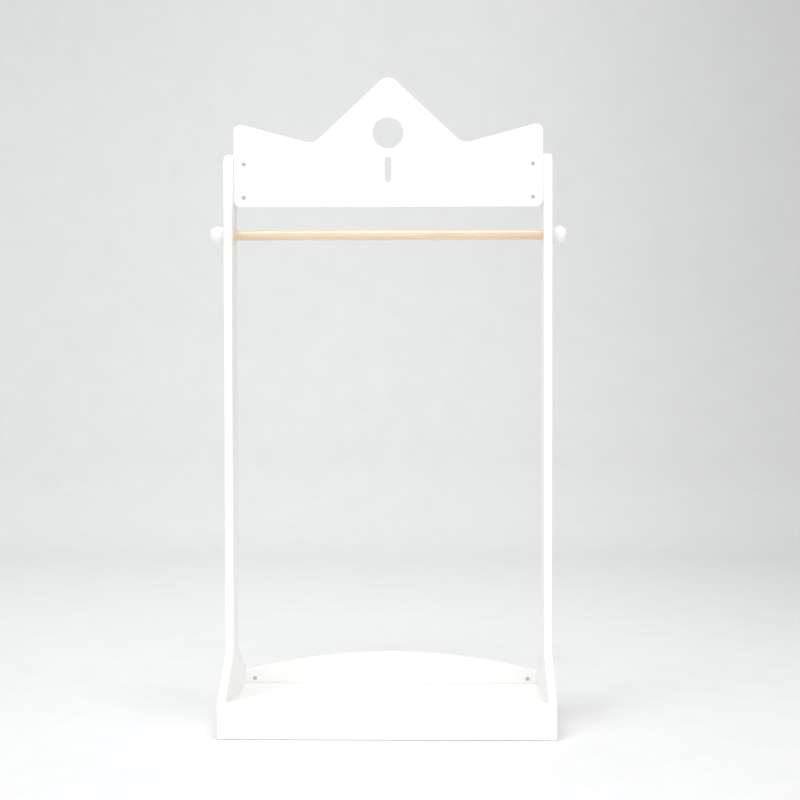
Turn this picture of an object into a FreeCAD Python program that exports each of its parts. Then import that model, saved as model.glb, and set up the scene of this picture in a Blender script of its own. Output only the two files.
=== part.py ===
import FreeCAD, Part
import math
import os

# Kids clothing rack: two side panels, a crown header, a turning hanging rod and a low tray of two base boards
# and a shelf, held together with connector bolts, barrel nuts and wooden dowels.
# Millimetres. +Z is up, the front faces -Y and the left is at -X. The origin is on the floor under the middle.

# Board stock and the rack's main size
rack_width = 580.0
board_thickness = 15.0
edge_round = 2.5

# Side panels: an upright strip on a flared foot
panel_height = 1012.0
strip_depth = 72.0
strip_top_flat = 12.0
foot_depth = 300.0
foot_edge_height = 64.0
flare_top_height = 128.0
flare_radius = 15.0
foot_corner_radius = 4.0

# Crown header: heights are over its bottom edge, to the sharp corners before rounding
header_drop = 93.0
crown_peak_height = 236.0
crown_point_height = 150.0
crown_valley_height = 112.0
crown_valley_offset = 133.0
crown_peak_radius = 20.0
crown_point_radius = 12.0
crown_valley_radius = 25.0
round_hole_diameter = 55.0
round_hole_height = 131.0
slot_width = 12.0
slot_length = 45.0
slot_height = 66.0

# Base boards with an arched top edge, which clear the floor, and the shelf between them
base_board_setback = 1.5
base_board_floor_gap = 0.5
base_board_end_height = 61.5
base_board_arch_rise = 35.0
shelf_top_height = 38.0
shelf_clearance = 0.3

# Hanging rod, which turns in the panels, and the balls on its ends
rod_diameter = 18.0
rod_drop = 142.5
rod_running_clearance = 0.1
rod_end_play = 0.4
rod_end_chamfer = 0.5
ball_diameter = 33.0
ball_shoulder = 1.5
ball_rim_round = 0.8
ball_screw_diameter = 6.0
ball_screw_in_rod = 25.0
ball_screw_in_ball = 18.0
ball_screw_tip = 5.0

# Connector bolts with countersunk heads, and their barrel nuts
bolt_diameter = 5.0
bolt_head_diameter = 10.0
bolt_head_rim = 0.5
bolt_head_recess = 0.2
bolt_socket_across_flats = 3.0
bolt_socket_depth = 2.0
bolt_past_nut = 6.0
bolt_tip_chamfer = 0.6
bolt_hole_clearance = 0.3
nut_diameter = 8.0
nut_setback = 18.0
nut_recess = 0.5
nut_back_wall = 2.5
nut_slot_width = 1.2
nut_slot_depth = 1.2
header_bolt_edge = 17.0
header_bolt_pitch = 59.0
base_bolt_height = 47.0

# Wooden alignment dowels
dowel_diameter = 8.0
dowel_in_board = 20.0
dowel_panel_wall = 5.0
dowel_end_chamfer = 1.0
dowel_end_gap = 0.5
base_dowel_height = 21.0
shelf_dowel_offset = 80.0

# Gap of a glued, threaded or seated fit
seat_clearance = 0.05

# Places that follow from the sizes above
outer_half = rack_width / 2
inner_half = outer_half - board_thickness
header_bottom = panel_height - header_drop
rod_height = panel_height - rod_drop
half_foot = foot_depth / 2
half_strip = strip_depth / 2
strip_top_radius = half_strip - strip_top_flat / 2
base_board_outer = half_foot - base_board_setback
base_board_inner = base_board_outer - board_thickness
base_board_middle = base_board_outer - board_thickness / 2
base_board_shoulder = base_board_floor_gap + base_board_end_height
shelf_middle = shelf_top_height - board_thickness / 2
bolt_length = board_thickness + nut_setback + bolt_past_nut
nut_length = board_thickness - nut_recess - nut_back_wall
dowel_in_panel = board_thickness - dowel_panel_wall
ball_radius = ball_diameter / 2
ball_flat_radius = rod_diameter / 2 + ball_shoulder
ball_flat_offset = math.sqrt(ball_radius ** 2 - ball_flat_radius ** 2)
rod_half_length = outer_half + rod_end_play

sides = {"left": -1, "right": 1}
ends = {"front": -1, "rear": 1}

# Heights of the header's fasteners, and (y, z) of every bolt and dowel along the X direction
header_bolt_heights = [header_bottom + header_bolt_edge, header_bottom + header_bolt_edge + header_bolt_pitch]
header_dowel_height = sum(header_bolt_heights) / len(header_bolt_heights)
header_bolt_places = [(0.0, height) for height in header_bolt_heights]
header_dowel_places = [(0.0, header_dowel_height)]
base_bolt_places = {}
base_dowel_places = {}
shelf_dowel_places = []
for end_name, end in ends.items():
    base_bolt_places[end_name] = [(end * base_board_middle, base_bolt_height)]
    base_dowel_places[end_name] = [(end * base_board_middle, base_dowel_height)]
    shelf_dowel_places.append((end * shelf_dowel_offset, shelf_middle))
all_bolt_places = header_bolt_places + sum(base_bolt_places.values(), [])
all_dowel_places = header_dowel_places + sum(base_dowel_places.values(), []) + shelf_dowel_places


def point(x, y, z):
    return FreeCAD.Vector(x, y, z)


def rounded_outline(corners, place):
    """Closed wire through (a, b, radius) corners, each rounded by an arc; place puts (a, b) into space."""
    flat = [point(a, b, 0) for a, b, radius in corners]
    arcs = []
    for index, corner in enumerate(flat):
        radius = corners[index][2]
        back = (flat[index - 1] - corner).normalize()
        ahead = (flat[(index + 1) % len(flat)] - corner).normalize()
        half_angle = back.getAngle(ahead) / 2
        reach = radius / math.tan(half_angle)
        middle = corner + (back + ahead).normalize() * (radius / math.sin(half_angle) - radius)
        arcs.append((corner + back * reach, middle, corner + ahead * reach))
    edges = []
    for index, (start, middle, end) in enumerate(arcs):
        start, middle, end = [place(spot.x, spot.y) for spot in (start, middle, end)]
        next_start = arcs[(index + 1) % len(arcs)][0]
        edges.append(Part.Arc(start, middle, end).toShape())
        edges.append(Part.LineSegment(end, place(next_start.x, next_start.y)).toShape())
    return Part.Wire(edges)


def edges_in_planes(solid, low, high, levels):
    """Edges wholly in one of the planes at the given levels; low and high name the box limits to compare."""
    found = []
    for edge in solid.Edges:
        span = (getattr(edge.BoundBox, low), getattr(edge.BoundBox, high))
        if any(all(abs(limit - level) < 1e-6 for limit in span) for level in levels):
            found.append(edge)
    return found


def rod_along_x(radius, start, end, y, z):
    """Plain cylinder from x = start to x = end."""
    return Part.makeCylinder(radius, abs(end - start), point(start, y, z), point(end - start, 0, 0))


def turned_along_x(profile, start, toward, y, z):
    """Solid turned about an X line; profile holds (distance, radius) pairs that begin and end on that line."""
    corners = [point(start + toward * distance, y, z + radius) for distance, radius in profile]
    face = Part.Face(Part.makePolygon(corners + corners[:1]))
    return face.revolve(point(start, y, z), point(1, 0, 0), 360)


def bolt_head_profile(margin):
    """Countersunk head from its flat face to the shank, wider all over by margin."""
    head_radius = bolt_head_diameter / 2 + margin
    shank_radius = bolt_diameter / 2 + margin
    cone_end = bolt_head_rim + head_radius - shank_radius
    return [(0, 0), (0, head_radius), (bolt_head_rim, head_radius), (cone_end, shank_radius)]


def bolt_holes_in_panel(side):
    """Clearance holes and countersinks for the bolts that come in from the outer face."""
    holes = []
    for y, z in all_bolt_places:
        hole_radius = bolt_diameter / 2 + bolt_hole_clearance
        holes.append(rod_along_x(hole_radius, side * outer_half, side * inner_half, y, z))
        seat_start = side * (outer_half - bolt_head_recess)
        seat = bolt_head_profile(seat_clearance)
        seat.append((seat[-1][0], 0))
        holes.append(turned_along_x(seat, seat_start, -side, y, z))
        mouth_radius = bolt_head_diameter / 2 + seat_clearance
        holes.append(rod_along_x(mouth_radius, side * outer_half, seat_start, y, z))
    return holes


def dowel_sockets(places, depth):
    """Blind holes, as deep as asked, into both panels or boards from the panels' inner faces."""
    radius = dowel_diameter / 2 + seat_clearance
    return [rod_along_x(radius, side * inner_half, side * (inner_half + depth), y, z)
            for side in sides.values() for y, z in places]


def board_fastener_holes(bolt_places, dowel_places, nut_face, nut_inward):
    """Holes in the two ends of a board for bolts and dowels, and the cross holes for the barrel nuts."""
    holes = dowel_sockets(dowel_places, -dowel_in_board)
    hole_radius = bolt_diameter / 2 + bolt_hole_clearance
    hole_end = inner_half - nut_setback - bolt_past_nut - bolt_hole_clearance
    nut_hole_radius = nut_diameter / 2 + seat_clearance
    nut_hole_depth = nut_recess + nut_length + seat_clearance
    for side in sides.values():
        for y, z in bolt_places:
            holes.append(rod_along_x(hole_radius, side * inner_half, side * hole_end, y, z))
            mouth = point(side * (inner_half - nut_setback), nut_face, z)
            holes.append(Part.makeCylinder(nut_hole_radius, nut_hole_depth, mouth, point(0, nut_inward, 0)))
    return holes


def side_panel(side):
    """Flat panel with a flared foot, eased all round, drilled for the rod, bolts and dowels."""
    right_half = [(half_foot, 0, foot_corner_radius), (half_foot, foot_edge_height, flare_radius),
                  (half_strip, flare_top_height, flare_radius), (half_strip, panel_height, strip_top_radius)]
    left_half = [(-y, z, radius) for y, z, radius in reversed(right_half)]
    inner_face = side * inner_half
    outline = rounded_outline(right_half + left_half, lambda y, z: point(inner_face, y, z))
    panel = Part.Face(outline).extrude(point(side * board_thickness, 0, 0))
    rims = edges_in_planes(panel, "XMin", "XMax", [inner_face, side * outer_half])
    panel = panel.makeFillet(edge_round, rims)
    rod_hole_radius = rod_diameter / 2 + rod_running_clearance
    holes = [rod_along_x(rod_hole_radius, inner_face, side * outer_half, 0, rod_height)]
    holes += bolt_holes_in_panel(side)
    holes += dowel_sockets(all_dowel_places, dowel_in_panel)
    return panel.cut(holes)


def crown_header():
    """Crown-shaped board with a round hole and a slot, eased on every edge."""
    front = -board_thickness / 2
    through = point(0, board_thickness, 0)
    right_half = [(inner_half, 0, crown_point_radius), (inner_half, crown_point_height, crown_point_radius),
                  (crown_valley_offset, crown_valley_height, crown_valley_radius)]
    left_half = [(-x, z, radius) for x, z, radius in reversed(right_half)]
    peak = [(0, crown_peak_height, crown_peak_radius)]

    def on_front(x, z):
        return point(x, front, header_bottom + z)

    board = Part.Face(rounded_outline(right_half + peak + left_half, on_front)).extrude(through)
    round_hole_centre = on_front(0, round_hole_height)
    round_hole = Part.makeCylinder(round_hole_diameter / 2, board_thickness, round_hole_centre, through)
    slot_straight = slot_length - slot_width
    slot = Part.makeBox(slot_width, board_thickness, slot_straight,
                        on_front(-slot_width / 2, slot_height - slot_straight / 2))
    for end in ends.values():
        slot_end = on_front(0, slot_height + end * slot_straight / 2)
        slot = slot.fuse(Part.makeCylinder(slot_width / 2, board_thickness, slot_end, through))
    board = board.cut([round_hole, slot.removeSplitter()])
    board = board.makeFillet(edge_round, edges_in_planes(board, "YMin", "YMax", [front, -front]))
    return board.cut(board_fastener_holes(header_bolt_places, header_dowel_places, front, 1))


def base_board(name):
    """Low board between the feet, its top edge a shallow arch; the nuts go in from its inner face."""
    end = ends[name]
    outer_face = end * base_board_outer
    inner_face = end * base_board_inner
    bottom = base_board_floor_gap
    shoulder = base_board_shoulder
    corners = [point(side * inner_half, outer_face, z)
               for side, z in ((1, shoulder), (1, bottom), (-1, bottom), (-1, shoulder))]
    crest = point(0, outer_face, shoulder + base_board_arch_rise)
    arch = Part.Arc(corners[-1], crest, corners[0]).toShape()
    outline = Part.Wire([Part.makePolygon(corners), arch])
    board = Part.Face(outline).extrude(point(0, inner_face - outer_face, 0))
    long_edges = [edge for edge in edges_in_planes(board, "YMin", "YMax", [outer_face, inner_face])
                  if edge.BoundBox.XLength > inner_half]
    board = board.makeFillet(edge_round, long_edges)
    return board.cut(board_fastener_holes(base_bolt_places[name], base_dowel_places[name], inner_face, end))


def base_shelf():
    """Plain board between the base boards, carried by dowels in the side panels."""
    half_depth = base_board_inner - shelf_clearance
    corner = point(-inner_half, -half_depth, shelf_top_height - board_thickness)
    shelf = Part.makeBox(2 * inner_half, 2 * half_depth, board_thickness, corner)
    return shelf.cut(dowel_sockets(shelf_dowel_places, -dowel_in_board))


def hanging_rod():
    """Round rod through both panels, bored at its ends for the ball screws."""
    radius = rod_diameter / 2
    length = 2 * rod_half_length
    profile = [(0, 0), (0, radius - rod_end_chamfer), (rod_end_chamfer, radius),
               (length - rod_end_chamfer, radius), (length, radius - rod_end_chamfer), (length, 0)]
    rod = turned_along_x(profile, -rod_half_length, 1, 0, rod_height)
    bore_radius = ball_screw_diameter / 2 + seat_clearance
    bores = [rod_along_x(bore_radius, side * rod_half_length,
                         side * (rod_half_length - ball_screw_in_rod - seat_clearance), 0, rod_height)
             for side in sides.values()]
    return rod.cut(bores)


def ball_finial(side):
    """Wooden ball whose flat bears on the end of the rod and keeps it between the panels."""
    flat = side * rod_half_length
    centre = point(flat + side * ball_flat_offset, 0, rod_height)
    ball = Part.makeSphere(ball_radius, centre)
    waste = rod_along_x(ball_radius, flat, flat - side * ball_radius, 0, rod_height)
    ball = ball.cut(waste)
    ball = ball.makeFillet(ball_rim_round, edges_in_planes(ball, "XMin", "XMax", [flat]))
    bore_radius = ball_screw_diameter / 2 + seat_clearance
    bore_end = flat + side * (ball_screw_in_ball + seat_clearance)
    return ball.cut(rod_along_x(bore_radius, flat, bore_end, 0, rod_height))


def ball_screw(side):
    """Double-ended dowel screw, pointed at both ends."""
    radius = ball_screw_diameter / 2
    length = ball_screw_in_rod + ball_screw_in_ball
    profile = [(0, 0), (ball_screw_tip, radius), (length - ball_screw_tip, radius), (length, 0)]
    return turned_along_x(profile, side * (rod_half_length - ball_screw_in_rod), side, 0, rod_height)


def connector_bolt(side, y, z):
    """Countersunk bolt with a hexagon socket, its head just under the panel's outer face."""
    start = side * (outer_half - bolt_head_recess)
    radius = bolt_diameter / 2
    length = bolt_length - bolt_head_recess
    profile = bolt_head_profile(0)
    profile += [(length - bolt_tip_chamfer, radius), (length, radius - bolt_tip_chamfer), (length, 0)]
    bolt = turned_along_x(profile, start, -side, y, z)
    socket_radius = bolt_socket_across_flats / math.sqrt(3)
    angles = [math.radians(60 * step) for step in range(7)]
    hexagon = [point(start, y + socket_radius * math.cos(angle), z + socket_radius * math.sin(angle))
               for angle in angles]
    socket = Part.Face(Part.makePolygon(hexagon)).extrude(point(-side * bolt_socket_depth, 0, 0))
    return bolt.cut(socket)


def barrel_nut(side, y, z, face, inward):
    """Cross dowel in a board: threaded across for the bolt, with a screwdriver slot in its visible end."""
    x = side * (inner_half - nut_setback)
    radius = nut_diameter / 2
    mouth = face + inward * nut_recess
    nut = Part.makeCylinder(radius, nut_length, point(x, mouth, z), point(0, inward, 0))
    thread = rod_along_x(bolt_diameter / 2 + seat_clearance, x - radius, x + radius, y, z)
    slot_corner = point(x - radius, min(mouth, mouth + inward * nut_slot_depth), z - nut_slot_width / 2)
    slot = Part.makeBox(nut_diameter, nut_slot_depth, nut_slot_width, slot_corner)
    return nut.cut([thread, slot])


def wooden_dowel(side, y, z):
    """Short dowel across a joint, half hidden in the panel and half in the board's end."""
    radius = dowel_diameter / 2
    length = dowel_in_panel + dowel_in_board - 2 * dowel_end_gap
    profile = [(0, 0), (0, radius - dowel_end_chamfer), (dowel_end_chamfer, radius),
               (length - dowel_end_chamfer, radius), (length, radius - dowel_end_chamfer), (length, 0)]
    return turned_along_x(profile, side * (inner_half + dowel_in_panel - dowel_end_gap), -side, y, z)


def group(solids):
    """One solid as it is, or several like pieces together."""
    return solids[0] if len(solids) == 1 else Part.makeCompound(solids)


parts = {
    "crown_header_board": crown_header(),
    "front_base_board": base_board("front"),
    "rear_base_board": base_board("rear"),
    "base_shelf": base_shelf(),
    "hanging_rod": hanging_rod(),
}
for side_name, side in sides.items():
    parts[side_name + "_side_panel"] = side_panel(side)
    parts[side_name + "_ball_finial"] = ball_finial(side)
    parts[side_name + "_ball_screw"] = ball_screw(side)
    parts[side_name + "_header_bolts"] = group([connector_bolt(side, y, z) for y, z in header_bolt_places])
    parts[side_name + "_header_nuts"] = group([barrel_nut(side, y, z, -board_thickness / 2, 1)
                                               for y, z in header_bolt_places])
    parts[side_name + "_header_dowel"] = group([wooden_dowel(side, y, z) for y, z in header_dowel_places])
    parts[side_name + "_shelf_dowels"] = group([wooden_dowel(side, y, z) for y, z in shelf_dowel_places])
    for end_name, end in ends.items():
        place = side_name + "_" + end_name
        parts[place + "_bolt"] = group([connector_bolt(side, y, z) for y, z in base_bolt_places[end_name]])
        parts[place + "_nut"] = group([barrel_nut(side, y, z, end * base_board_inner, end)
                                       for y, z in base_bolt_places[end_name]])
        parts[place + "_dowel"] = group([wooden_dowel(side, y, z) for y, z in base_dowel_places[end_name]])

os.makedirs("parts", exist_ok=True)
for name, shape in parts.items():
    shape.exportStep("parts/" + name + ".step")
    print(name, len(shape.Solids), "solids", round(shape.Volume, 1), "mm3, valid:", shape.isValid())
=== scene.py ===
import math

import bmesh
import bpy
from mathutils import Matrix, Vector


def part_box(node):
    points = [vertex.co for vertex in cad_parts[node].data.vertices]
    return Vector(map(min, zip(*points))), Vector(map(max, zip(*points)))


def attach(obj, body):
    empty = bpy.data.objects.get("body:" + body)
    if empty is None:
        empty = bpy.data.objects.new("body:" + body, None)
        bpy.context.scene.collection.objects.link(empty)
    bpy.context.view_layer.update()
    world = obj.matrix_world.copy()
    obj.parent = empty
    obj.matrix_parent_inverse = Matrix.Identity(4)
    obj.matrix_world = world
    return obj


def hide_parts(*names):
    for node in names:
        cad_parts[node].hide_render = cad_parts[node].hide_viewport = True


# A kids clothing rack in metres: the front faces -Y, the left is at -X and the floor is at Z = 0.
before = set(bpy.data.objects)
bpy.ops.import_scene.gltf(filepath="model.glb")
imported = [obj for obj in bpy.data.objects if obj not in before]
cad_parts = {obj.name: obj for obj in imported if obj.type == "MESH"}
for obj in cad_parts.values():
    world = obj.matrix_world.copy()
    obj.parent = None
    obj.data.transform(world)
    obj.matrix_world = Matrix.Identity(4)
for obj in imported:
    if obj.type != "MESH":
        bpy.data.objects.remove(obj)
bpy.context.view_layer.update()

# Side panels
# Two upright boards of sprayed white wood: a narrow strip that flares at the floor into a deep foot.
# Each is sawn to its outline, eased on both faces and drilled for the rod, the bolts and the dowels.
panel_low, panel_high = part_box("left_side_panel")
inner_half = -panel_high.x
outer_half = -panel_low.x
board_thickness = outer_half - inner_half
edge_round = 0.0025
half_foot = panel_high.y
half_strip = 0.036
strip_top_radius = 0.030
foot_edge_height = 0.064
flare_top_height = 0.128
flare_radius = 0.015
foot_corner_radius = 0.004
rod_low, rod_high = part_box("hanging_rod")
rod_radius = (rod_high.z - rod_low.z) / 2
rod_height = (rod_high.z + rod_low.z) / 2
rod_running_clearance = 0.0001
bolt_radius = 0.0025
bolt_head_radius = 0.005
bolt_head_rim = 0.0005
bolt_head_recess = 0.0002
bolt_hole_clearance = 0.0003
bolt_hole_radius = bolt_radius + bolt_hole_clearance
dowel_radius = 0.004
dowel_in_panel = 0.010
seat_clearance = 0.00005
past_face = 0.002
sides = {"left": -1, "right": 1}
ends = {"front": -1, "rear": 1}
arc_steps = 16.0
round_segments = 64
sharp_angle = math.radians(35)
noise_low = 0.3
noise_high = 0.7
board_whites = (0.92, 0.919, 0.909, 1.0), (0.94, 0.938, 0.925, 1.0)
upright_grain = (500.0, 500.0, 9.0)


def add_node(tree, kind, sockets=None, **settings):
    """New node of a tree; a socket, by name or number, takes a value, an output, or a list of outputs."""
    made = tree.nodes.new(kind)
    for name, value in settings.items():
        setattr(made, name, value)
    for key, value in (sockets or {}).items():
        for item in value if isinstance(value, list) else [value]:
            if isinstance(item, bpy.types.NodeSocket):
                tree.links.new(item, made.inputs[key])
            else:
                made.inputs[key].default_value = item
    return made


def math_node(tree, operation, *values):
    """Output of one arithmetic step."""
    return add_node(tree, "ShaderNodeMath", dict(enumerate(values)), operation=operation).outputs[0]


def new_geometry_tree(name, sizes):
    """Tree with a geometry input and output, a named number input for each size, and a finish."""
    tree = bpy.data.node_groups.new(name, "GeometryNodeTree")
    tree.interface.new_socket("Geometry", in_out="OUTPUT", socket_type="NodeSocketGeometry")
    tree.interface.new_socket("Geometry", in_out="INPUT", socket_type="NodeSocketGeometry")
    for size in sizes:
        tree.interface.new_socket(size, in_out="INPUT", socket_type="NodeSocketFloat")
    tree.interface.new_socket("Finish", in_out="INPUT", socket_type="NodeSocketMaterial")
    return tree, add_node(tree, "NodeGroupInput").outputs


def end_tree(tree, geometry, given):
    """Last nodes of a tree: real geometry, smooth shading and the finish."""
    real = add_node(tree, "GeometryNodeRealizeInstances", {"Geometry": geometry})
    smooth = add_node(tree, "GeometryNodeSetShadeSmooth", {"Geometry": real.outputs[0]})
    finished = add_node(tree, "GeometryNodeSetMaterial", {
        "Geometry": smooth.outputs[0], "Material": given["Finish"]})
    add_node(tree, "NodeGroupOutput", {"Geometry": finished.outputs[0]})


def plain_mesh(source, name):
    """The evaluated shape of a working object as a plain mesh; the working object goes."""
    depsgraph = bpy.context.evaluated_depsgraph_get()
    evaluated = source.evaluated_get(depsgraph)
    mesh = bpy.data.meshes.new_from_object(evaluated, preserve_all_data_layers=True, depsgraph=depsgraph)
    mesh.name = name
    bpy.data.objects.remove(source)
    return mesh


def show(name, mesh):
    """Object at the origin that shows a mesh."""
    piece = bpy.data.objects.new(name, mesh)
    bpy.context.scene.collection.objects.link(piece)
    return piece


def run_tree(name, data, tree, values):
    """Plain mesh that a tree makes from a curve or mesh, with its named inputs set by identifier."""
    source = show(name + "_source", data)
    modifier = source.modifiers.new("Tree", "NODES")
    modifier.node_group = tree
    for item in tree.interface.items_tree:
        if item.in_out == "INPUT" and item.name in values:
            modifier[item.identifier] = values[item.name]
    mesh = plain_mesh(source, name)
    mesh.materials.clear()
    mesh.materials.append(values["Finish"])
    return mesh


def eased_board_tree():
    """Board sawn to flat outlines, whose point radii round the corners, with both faces eased all round."""
    tree, given = new_geometry_tree("eased_board", ["Thickness", "Edge Round", "Arc Steps"])
    corner_radius = add_node(tree, "GeometryNodeInputRadius").outputs[0]
    rounded = math_node(tree, "GREATER_THAN", corner_radius, 0.0)
    fillet = add_node(tree, "GeometryNodeFilletCurve", {
        "Curve": given["Geometry"], "Radius": corner_radius, "Limit Radius": True,
        "Count": math_node(tree, "MULTIPLY", rounded, given["Arc Steps"])}, mode="POLY")
    even = add_node(tree, "GeometryNodeSetCurveRadius", {"Curve": fillet.outputs[0], "Radius": 1.0})
    upright = add_node(tree, "GeometryNodeSetCurveNormal", {"Curve": even.outputs[0]}, mode="Z_UP")
    # The edge's section: a quarter round, the straight edge and a second quarter round
    round_steps = 6
    index = add_node(tree, "GeometryNodeInputIndex").outputs[0]
    upper = math_node(tree, "GREATER_THAN", index, round_steps + 0.5)
    step = math_node(tree, "SUBTRACT", index, upper)
    angle = math_node(tree, "MULTIPLY_ADD", step, math.pi / 2 / round_steps, -math.pi / 2)
    face_side = math_node(tree, "MULTIPLY_ADD", upper, 2.0, -1.0)
    straight_half = math_node(tree, "MULTIPLY_ADD", given["Thickness"], 0.5,
                              math_node(tree, "MULTIPLY", given["Edge Round"], -1.0))
    shrink = math_node(tree, "SUBTRACT", math_node(tree, "COSINE", angle), 1.0)
    inset = math_node(tree, "MULTIPLY", shrink, given["Edge Round"])
    bulge = math_node(tree, "MULTIPLY", math_node(tree, "SINE", angle), given["Edge Round"])
    across = math_node(tree, "MULTIPLY_ADD", face_side, straight_half, bulge)
    section_points = add_node(tree, "GeometryNodeResampleCurve", {
        "Curve": add_node(tree, "GeometryNodeCurvePrimitiveLine").outputs[0], "Count": 2 * round_steps + 2})
    section = add_node(tree, "GeometryNodeSetPosition", {
        "Geometry": section_points.outputs[0],
        "Position": add_node(tree, "ShaderNodeCombineXYZ", {"X": inset, "Y": across}).outputs[0]})
    rim = add_node(tree, "GeometryNodeCurveToMesh", {
        "Curve": upright.outputs[0], "Profile Curve": section.outputs[0]}).outputs[0]
    # The rim's upper open edge is filled flat at zero height, and that fill serves for both faces
    height = add_node(tree, "ShaderNodeSeparateXYZ", {
        0: add_node(tree, "GeometryNodeInputPosition").outputs[0]}).outputs["Z"]
    open_edge = add_node(tree, "FunctionNodeCompare", {
        "A": add_node(tree, "GeometryNodeInputMeshEdgeNeighbors").outputs[0], "B": 1},
        data_type="INT", operation="EQUAL").outputs[0]
    on_top = add_node(tree, "FunctionNodeBooleanMath", {
        0: open_edge, 1: math_node(tree, "GREATER_THAN", height, 0.0)}).outputs[0]
    top_edge = add_node(tree, "GeometryNodeMeshToCurve", {"Mesh": rim, "Selection": on_top})
    face = add_node(tree, "GeometryNodeFillCurve", {"Curve": top_edge.outputs[0]}, mode="NGONS").outputs[0]
    half_up = math_node(tree, "MULTIPLY", given["Thickness"], 0.5)
    half_down = math_node(tree, "MULTIPLY", given["Thickness"], -0.5)
    up = add_node(tree, "ShaderNodeCombineXYZ", {"Z": half_up})
    down = add_node(tree, "ShaderNodeCombineXYZ", {"Z": half_down})
    top = add_node(tree, "GeometryNodeTransform", {"Geometry": face, "Translation": up.outputs[0]})
    turned_face = add_node(tree, "GeometryNodeFlipFaces", {"Mesh": face})
    bottom = add_node(tree, "GeometryNodeTransform", {
        "Geometry": turned_face.outputs[0], "Translation": down.outputs[0]})
    joined = add_node(tree, "GeometryNodeJoinGeometry", {
        "Geometry": [rim, top.outputs[0], bottom.outputs[0]]})
    weld_distance = 0.000005
    closed = add_node(tree, "GeometryNodeMergeByDistance", {
        "Geometry": joined.outputs[0], "Distance": weld_distance})
    end_tree(tree, closed.outputs[0], given)
    return tree


eased_board = eased_board_tree()


def outline_curve(name, loops):
    """Flat curve of loops of (a, b, radius) corners; outlines run counter-clockwise and holes clockwise."""
    curve = bpy.data.curves.new(name, "CURVE")
    curve.dimensions = "3D"
    for loop in loops:
        spline = curve.splines.new("POLY")
        spline.points.add(len(loop) - 1)
        spline.use_cyclic_u = True
        for spot, (a, b, radius) in zip(spline.points, loop):
            spot.co = (a, b, 0.0, 1.0)
            spot.radius = radius
    return curve


def board_mesh(name, loops, thickness, easing, steps, finish):
    """Flat mesh of a board sawn to closed loops and eased; its middle layer is at zero height."""
    return run_tree(name, outline_curve(name, loops), eased_board, {
        "Thickness": thickness, "Edge Round": easing, "Arc Steps": steps, "Finish": finish})


def add_turned(shape, profile, start, direction):
    """Adds a solid turned about a line to a bmesh; profile holds (distance, radius) from axis to axis."""
    direction = Vector(direction)
    across = direction.orthogonal().normalized()
    upward = direction.cross(across)
    rings = []
    for distance, radius in profile:
        centre = Vector(start) + direction * distance
        spots = [centre]
        if radius > 0:
            turns = [2 * math.pi * step / round_segments for step in range(round_segments)]
            rays = [across * math.cos(turn) + upward * math.sin(turn) for turn in turns]
            spots = [centre + ray * radius for ray in rays]
        rings.append([shape.verts.new(spot) for spot in spots])
    faces = []
    for near, far in zip(rings, rings[1:]):
        for step in range(round_segments):
            ahead = step + 1
            corners = [near[step % len(near)], far[step % len(far)],
                       far[ahead % len(far)], near[ahead % len(near)]]
            faces.append(shape.faces.new(list(dict.fromkeys(corners))))
    bmesh.ops.recalc_face_normals(shape, faces=faces)


def cylinder(radius, depth):
    """Profile of a plain cylinder."""
    return [(0, 0), (0, radius), (depth, radius), (depth, 0)]


def drill(mesh, *passes):
    """Cuts turned holes out of a board; a pass is a list of (profile, start, direction) that stay apart."""
    board = show(mesh.name + "_board", mesh)
    cutters = []
    for holes in passes:
        shape = bmesh.new()
        for profile, start, direction in holes:
            add_turned(shape, profile, start, direction)
        cutter_mesh = bpy.data.meshes.new("cutter")
        shape.to_mesh(cutter_mesh)
        shape.free()
        cutter = show("cutter", cutter_mesh)
        modifier = board.modifiers.new("Drill", "BOOLEAN")
        modifier.solver = "EXACT"
        modifier.operation = "DIFFERENCE"
        modifier.object = cutter
        cutters.append(cutter)
    drilled = plain_mesh(board, mesh.name)
    for cutter in cutters:
        bpy.data.objects.remove(cutter)
    return drilled


def settle_normals(name, mesh):
    """Smooth curves beside flat faces: sharp edges by angle, and normals weighted by face area."""
    mesh.shade_smooth()
    mesh.set_sharp_from_angle(angle=sharp_angle)
    source = show(name + "_source", mesh)
    modifier = source.modifiers.new("Normals", "WEIGHTED_NORMAL")
    modifier.keep_sharp = True
    return plain_mesh(source, name)


def places_in(node, radius):
    """(y, z) of the first and the last of the like round pieces in a CAD node."""
    low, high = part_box(node)
    first = Vector((low.y + radius, low.z + radius))
    last = Vector((high.y - radius, high.z - radius))
    return [first] if (last - first).length < radius else [first, last]


def new_material(name):
    """Empty node material, its principled shader and its object coordinates."""
    material = bpy.data.materials.new(name)
    material.use_nodes = True
    tree = material.node_tree
    shader = tree.nodes["Principled BSDF"]
    place = add_node(tree, "ShaderNodeTexCoord").outputs["Object"]
    return material, tree, shader, place


def noise_node(tree, place, stretch, detail=3.0):
    """Noise whose spots per metre along X, Y and Z are given."""
    spread = add_node(tree, "ShaderNodeMapping", {"Vector": place, "Scale": stretch})
    return add_node(tree, "ShaderNodeTexNoise", {
        "Vector": spread.outputs[0], "Scale": 1.0, "Detail": detail, "Roughness": 0.55}).outputs["Fac"]


def range_node(tree, value, low, high):
    """Noise value, which keeps mostly between its usual low and high, mapped to a range."""
    return add_node(tree, "ShaderNodeMapRange", {
        "Value": value, "From Min": noise_low, "From Max": noise_high,
        "To Min": low, "To Max": high}).outputs[0]


def mix_colour(tree, factor, first, second):
    """Colour between two colours; the mix node's colour sockets are its seventh and eighth."""
    mix = add_node(tree, "ShaderNodeMix", {0: factor, 6: first, 7: second}, data_type="RGBA")
    return mix.outputs[2]


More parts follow.
